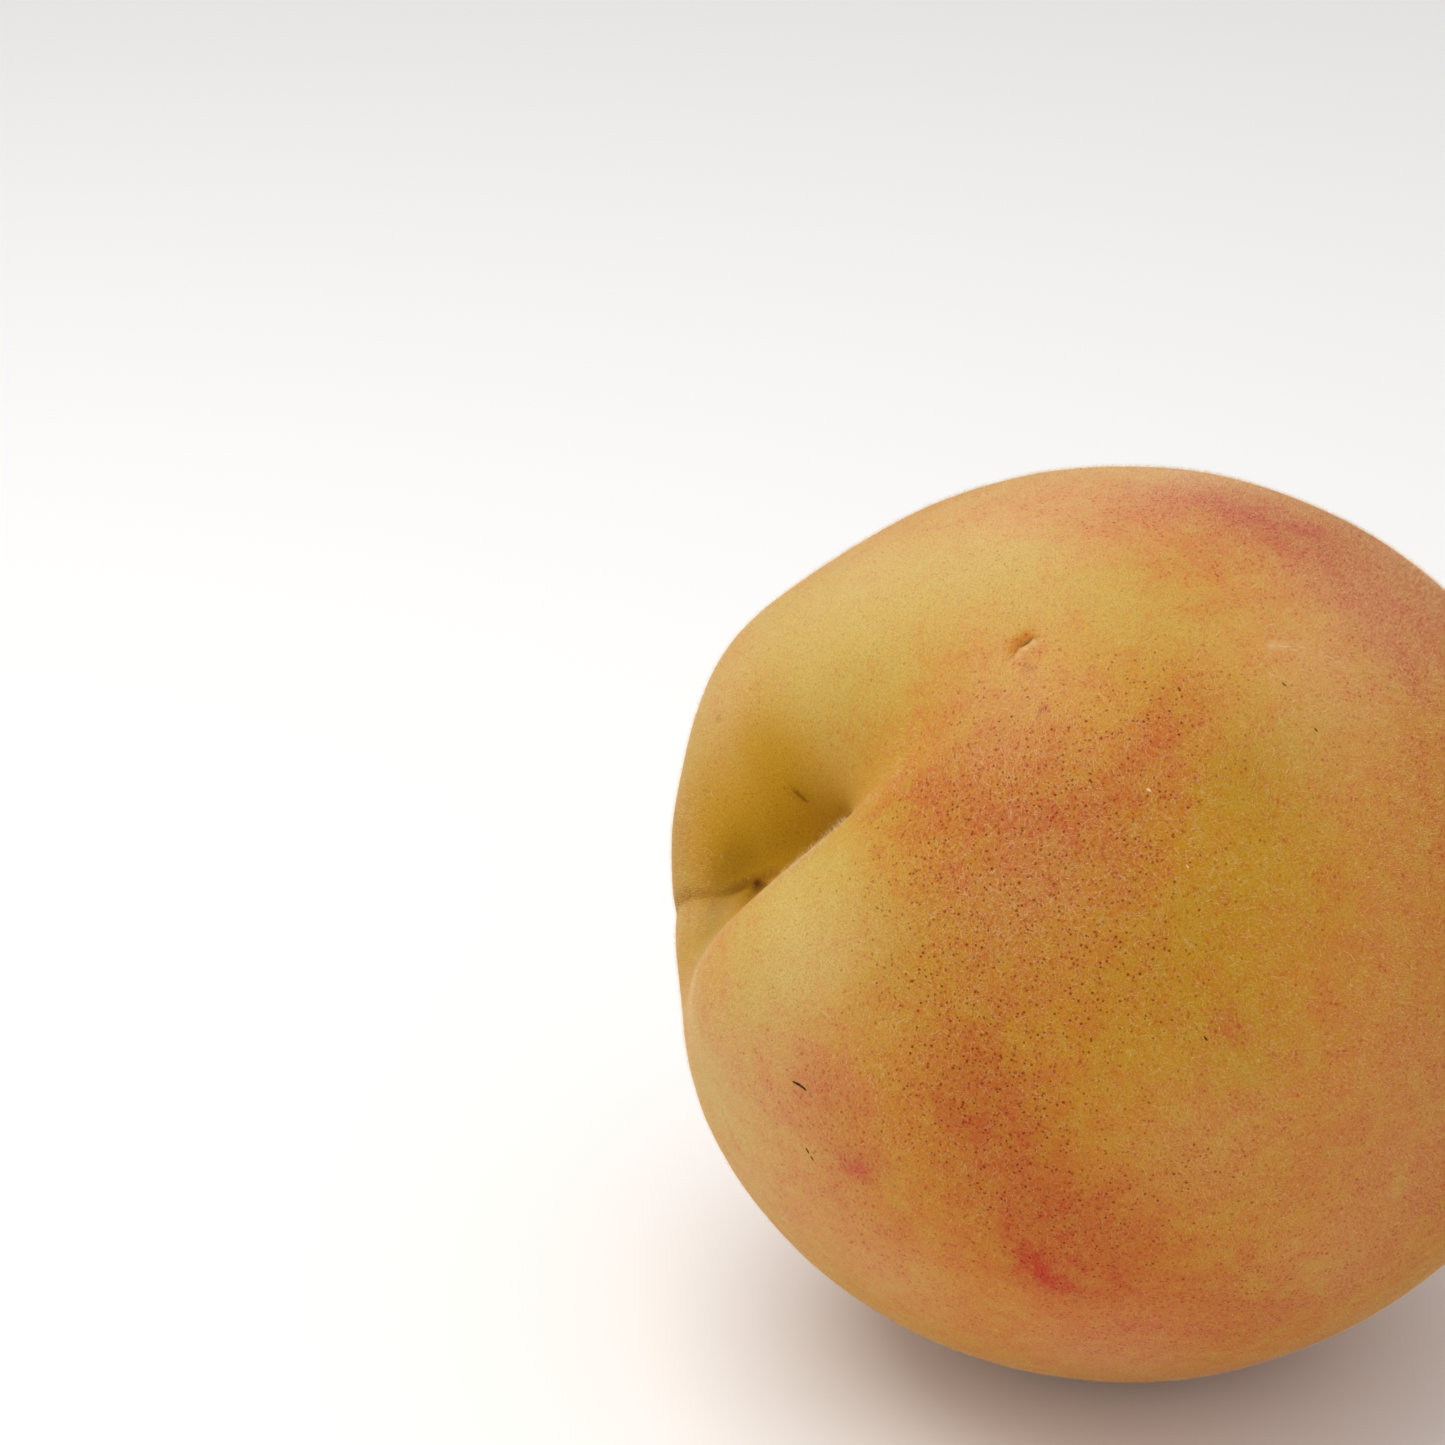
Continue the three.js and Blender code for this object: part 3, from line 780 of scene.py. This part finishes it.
def fuzz_cover(places, curled):
    """How thickly the hairs grow at each place: thin in the hollow, on the smooth high shoulder and
    underneath, where they rub off. Curled hairs crowd on the freckled cheek."""
    a, s, w = places.T
    hollow = np.hypot(s - HOLLOW_CENTRE[0],
                      (w - HOLLOW_CENTRE[1]) * np.where(w > HOLLOW_CENTRE[1], 1.4, 1.0))
    cover = 1 - 0.88 * (1 - ease((hollow - 7.5) / 7)) * (a > 10)
    lip = hump(hollow - 9.9, 1.2) * (a > 10) * ease((-s - 8) / 2) * ease((s + 15.5) / 2) * (w > -1.5)
    height = (places @ fruit_directions())[:, 2]
    cover *= 1 - 0.62 * ease((4 - height) / 26)
    for ends, reach, gone in RUBBED:
        cover *= 1 - gone * streak(places, ends, reach)
    if curled:
        cover *= (1 - 0.80 * blotches(places, STRAW)) * (1 - 0.60 * ease((-height - 2) / 16))
        cover *= 0.20 + blotches(places, CURLED)
    return cover + (0.8 if curled else 2.2) * lip


def grow_hairs(name, skin, material, half, count, tall, wide, curled, seed):
    """Hairs as thin blades rooted all over one half of the skin. Down stands up; a curled hair leans
    over and turns twice."""
    rng = np.random.default_rng(seed)
    mesh = skin.data
    mesh.calc_loop_triangles()
    points = read(mesh.vertices, "co", 3).astype(float)
    normals = read(mesh.vertex_normals, "vector", 3).astype(float)
    faces = read(mesh.loop_triangles, "vertices", 3, np.int32)
    middle = points[faces].mean(1)
    own = (middle - (0, 0, skin_middle())) @ fruit_directions().T / MM
    kept = ((own[:, 0] >= 0) == (half == "stem")) & (middle[:, 2] > 0.6 * MM)
    faces, own = faces[kept], own[kept]
    edge1, edge2 = points[faces[:, 1]] - points[faces[:, 0]], points[faces[:, 2]] - points[faces[:, 0]]
    weight = np.linalg.norm(np.cross(edge1, edge2), axis=1) * fuzz_cover(own, curled)
    pick = rng.choice(len(faces), size=count, p=weight / weight.sum())
    u, v = rng.random(count), rng.random(count)
    fold = u + v > 1
    u[fold], v[fold] = 1 - u[fold], 1 - v[fold]
    mix = np.stack((1 - u - v, u, v), 1)[..., None]
    root = (points[faces[pick]] * mix).sum(1)
    up = unit((normals[faces[pick]] * mix).sum(1))

    comb = comb_directions(points / MM, normals)[faces[pick, 0]]
    lean = comb + rng.normal(size=(count, 3)) * 1.1
    lean = unit(lean - up * (lean * up).sum(1, keepdims=True))
    tilt = np.clip(rng.normal(0.95 if curled else 0.42, 0.25, count), 0.0, 1.4)[:, None]
    rise = up * np.cos(tilt) + lean * np.sin(tilt)
    side = unit(np.cross(up, rise))
    roll = rng.normal(0, 0.5, count)[:, None]
    side = side * np.cos(roll) + np.cross(rise, side) * np.sin(roll)
    tall = (tall * rng.uniform(0.6, 1.35, count) * (0.55 + 0.45 * fuzz_cover(own, False)[pick]))[:, None]
    half_wide = wide / 2 * rng.uniform(0.7, 1.3, count)[:, None]
    root = root - up * 0.03 * MM

    if curled:
        turns = rng.normal(0, 0.9, (2, count, 1))
        first = root + rise * tall * 0.32
        onward = unit(rise + lean * 0.5 + np.cross(up, lean) * turns[0] - up * 0.25)
        second = first + onward * tall * 0.34
        onward = unit(onward + np.cross(up, onward) * (0.5 * turns[0] + turns[1]) - up * 0.15)
        tip = second + onward * tall * 0.34
        ring = np.stack((root - side * half_wide, root + side * half_wide,
                         first - side * half_wide * 0.9, first + side * half_wide * 0.9,
                         second - side * half_wide * 0.7, second + side * half_wide * 0.7, tip), 1)
        corners = np.array((0, 1, 3, 0, 3, 2, 2, 3, 5, 2, 5, 4, 4, 5, 6))
    else:
        ring = np.stack((root - side * half_wide, root + side * half_wide, root + rise * tall), 1)
        corners = np.array((0, 1, 2))
    ring[..., 2] = np.maximum(ring[..., 2], 0.02 * MM)
    corners = np.arange(count)[:, None] * ring.shape[1] + corners
    hairs = mesh_from(name, ring.reshape(-1, 3), corners.ravel(), np.full(corners.size // 3, 3))
    return add_piece(name, hairs, material)


def lay_flecks(name, skin, material, flecks):
    """Flecks as crowned slivers lying on the skin: half width in mm, then the places they run through."""
    tree = BVHTree.FromPolygons([v.co for v in skin.data.vertices], [p.vertices[:] for p in skin.data.polygons])
    turn = fruit_directions()
    points, corners = [], []
    for half_wide, *stops in flecks:
        stops = np.array(stops)
        steps = 4 * (len(stops) - 1)
        at = np.linspace(0, len(stops) - 1, steps + 1)
        path = np.stack([np.interp(at, np.arange(len(stops)), stops[:, k]) for k in range(3)], 1)
        for _ in range(2):    # rounds the corners of the run
            path[1:-1] = (path[:-2] + 2 * path[1:-1] + path[2:]) / 4
        world = [Vector(p) for p in path @ turn * MM + (0, 0, skin_middle())]
        first = len(points)
        for k, spot in enumerate(world):
            place, up, _, _ = tree.find_nearest(spot)
            ahead = world[min(k + 1, steps)] - world[max(k - 1, 0)]
            side = ahead.cross(up).normalized() * half_wide * MM * (0.25 + 0.75 * math.sin(math.pi * k / steps))
            points += [place - side + up * 0.01 * MM, place + up * (0.03 + 0.5 * half_wide) * MM,
                       place + side + up * 0.01 * MM]
        for k in range(first, first + 3 * steps, 3):
            corners += [k, k + 1, k + 4, k + 3, k + 1, k + 2, k + 5, k + 4]
    mesh = mesh_from(name, points, corners, [4] * (len(corners) // 4))
    mesh.polygons.foreach_set("use_smooth", [True] * len(mesh.polygons))
    return add_piece(name, mesh, material)


def skin_middle():
    """Height of the fruit's middle over the table, in metres."""
    return bpy.context.scene.peach_form.rest_height


class OBJECT_OT_peach_fuzz(bpy.types.Operator):
    """Grow the short down and the longer bent hairs over the skin"""
    bl_idname = "object.peach_fuzz"
    bl_label = "Grow Fuzz"

    def execute(self, context):
        skin = bpy.data.objects.get("peach_skin")
        if skin is None:
            raise RuntimeError("Grow the skin first.")
        fuzz, colours = context.scene.peach_fuzz, context.scene.peach_colours
        down = fuzz_material("Peach down, dry and pale", colours.down)
        strands = fuzz_material("Peach hairs, dry and straw pale", colours.fuzz)
        for step, half in enumerate(("stem", "tip")):
            grow_hairs("down_" + half + "_half", skin, down, half, fuzz.down_count,
                       fuzz.down_length, fuzz.down_width, False, fuzz.seed + step)
            grow_hairs("strands_" + half + "_half", skin, strands, half, fuzz.strand_count,
                       fuzz.strand_length, fuzz.strand_width, True, fuzz.seed + 10 + step)
        return {"FINISHED"}


class OBJECT_OT_peach_flecks(bpy.types.Operator):
    """Lay the dry flecks and the pale scratches on the skin"""
    bl_idname = "object.peach_flecks"
    bl_label = "Lay Flecks"

    def execute(self, context):
        skin = bpy.data.objects.get("peach_skin")
        if skin is None:
            raise RuntimeError("Grow the skin first.")
        colours = context.scene.peach_colours
        lay_flecks("dry_flecks", skin, fleck_material("Dried leaf scraps", colours.fleck, colours.russet_and_shade),
                   DRY_FLECKS)
        lay_flecks("pale_scratches", skin, fleck_material("Loosened rind, papery", colours.scratch, colours.fuzz),
                   PALE_FLECKS)
        return {"FINISHED"}


class SCENE_OT_peach_stage(bpy.types.Operator):
    """Set the pale table, the soft light and the camera"""
    bl_idname = "scene.peach_stage"
    bl_label = "Set Stage"

    def execute(self, context):
        scene, stage = context.scene, context.scene.peach_stage
        corners = [(x * TABLE_REACH, y * TABLE_REACH, 0) for x, y in ((-1, -1), (1, -1), (1, 1), (-1, 1))]
        mesh = mesh_from("table", corners, [0, 1, 2, 3], [4])
        mesh.materials.append(table_material(scene.peach_colours))
        table = bpy.data.objects.new("table", mesh)
        scene.collection.objects.link(table)

        middle = Vector((0, 0, skin_middle()))
        for (name, where, size), power in zip(LIGHTS, (stage.softbox_power, stage.front_power)):
            light = bpy.data.lights.new(name, "AREA")
            light.size = size
            light.energy = power
            lamp = bpy.data.objects.new(name, light)
            lamp.location = where
            lamp.rotation_euler = (middle - Vector(where)).to_track_quat("-Z", "Y").to_euler()
            scene.collection.objects.link(lamp)

        world = bpy.data.worlds.new("room")
        world.use_nodes = True
        room = world.node_tree.nodes["Background"]
        room.inputs["Color"].default_value = (1.0, 1.0, 1.0, 1.0)
        room.inputs["Strength"].default_value = stage.room_light
        scene.world = world
        scene.view_settings.view_transform = "Standard"

        e = stage.elevation
        right, up = Vector((1, 0, 0)), Vector((0, math.sin(e), math.cos(e)))
        back = right.cross(up)
        spot = middle - right * stage.aim_side + up * stage.aim_rise + back * stage.distance
        lens = bpy.data.cameras.new("camera")
        lens.lens = stage.lens
        lens.sensor_width = SENSOR_WIDTH
        lens.clip_start = 0.01
        camera = bpy.data.objects.new("camera", lens)
        camera.matrix_world = Matrix.Translation(spot) @ Matrix((right, up, back)).transposed().to_4x4()
        scene.collection.objects.link(camera)
        scene.camera = camera
        return {"FINISHED"}


class VIEW3D_PT_peach(bpy.types.Panel):
    """Settings and steps of the peach"""
    bl_label = "Ripe Peach"
    bl_idname = "VIEW3D_PT_peach"
    bl_space_type = "VIEW_3D"
    bl_region_type = "UI"
    bl_category = "Peach"

    def draw(self, context):
        scene = context.scene
        for title, group, operator in (
                ("Skin", scene.peach_form, "object.peach_skin"),
                ("Fuzz", scene.peach_fuzz, "object.peach_fuzz"),
                ("Flecks", None, "object.peach_flecks"),
                ("Colours", scene.peach_colours, None),
                ("Stage", scene.peach_stage, "scene.peach_stage")):
            box = self.layout.box()
            box.label(text=title)
            for name in group.__annotations__ if group else ():
                box.prop(group, name)
            if operator:
                box.operator(operator)


CLASSES = (PeachForm, PeachFuzz, PeachColours, PeachStage, OBJECT_OT_peach_skin, OBJECT_OT_peach_fuzz,
           OBJECT_OT_peach_flecks, SCENE_OT_peach_stage, VIEW3D_PT_peach)


def register():
    for cls in CLASSES:
        bpy.utils.register_class(cls)
    bpy.types.Scene.peach_form = bpy.props.PointerProperty(type=PeachForm)
    bpy.types.Scene.peach_fuzz = bpy.props.PointerProperty(type=PeachFuzz)
    bpy.types.Scene.peach_colours = bpy.props.PointerProperty(type=PeachColours)
    bpy.types.Scene.peach_stage = bpy.props.PointerProperty(type=PeachStage)


def unregister():
    for name in ("peach_stage", "peach_colours", "peach_fuzz", "peach_form"):
        delattr(bpy.types.Scene, name)
    for cls in reversed(CLASSES):
        bpy.utils.unregister_class(cls)


def main():
    register()
    bpy.ops.scene.peach_stage()
    bpy.ops.object.peach_skin()
    bpy.ops.object.peach_fuzz()
    bpy.ops.object.peach_flecks()


if __name__ == "__main__":
    main()
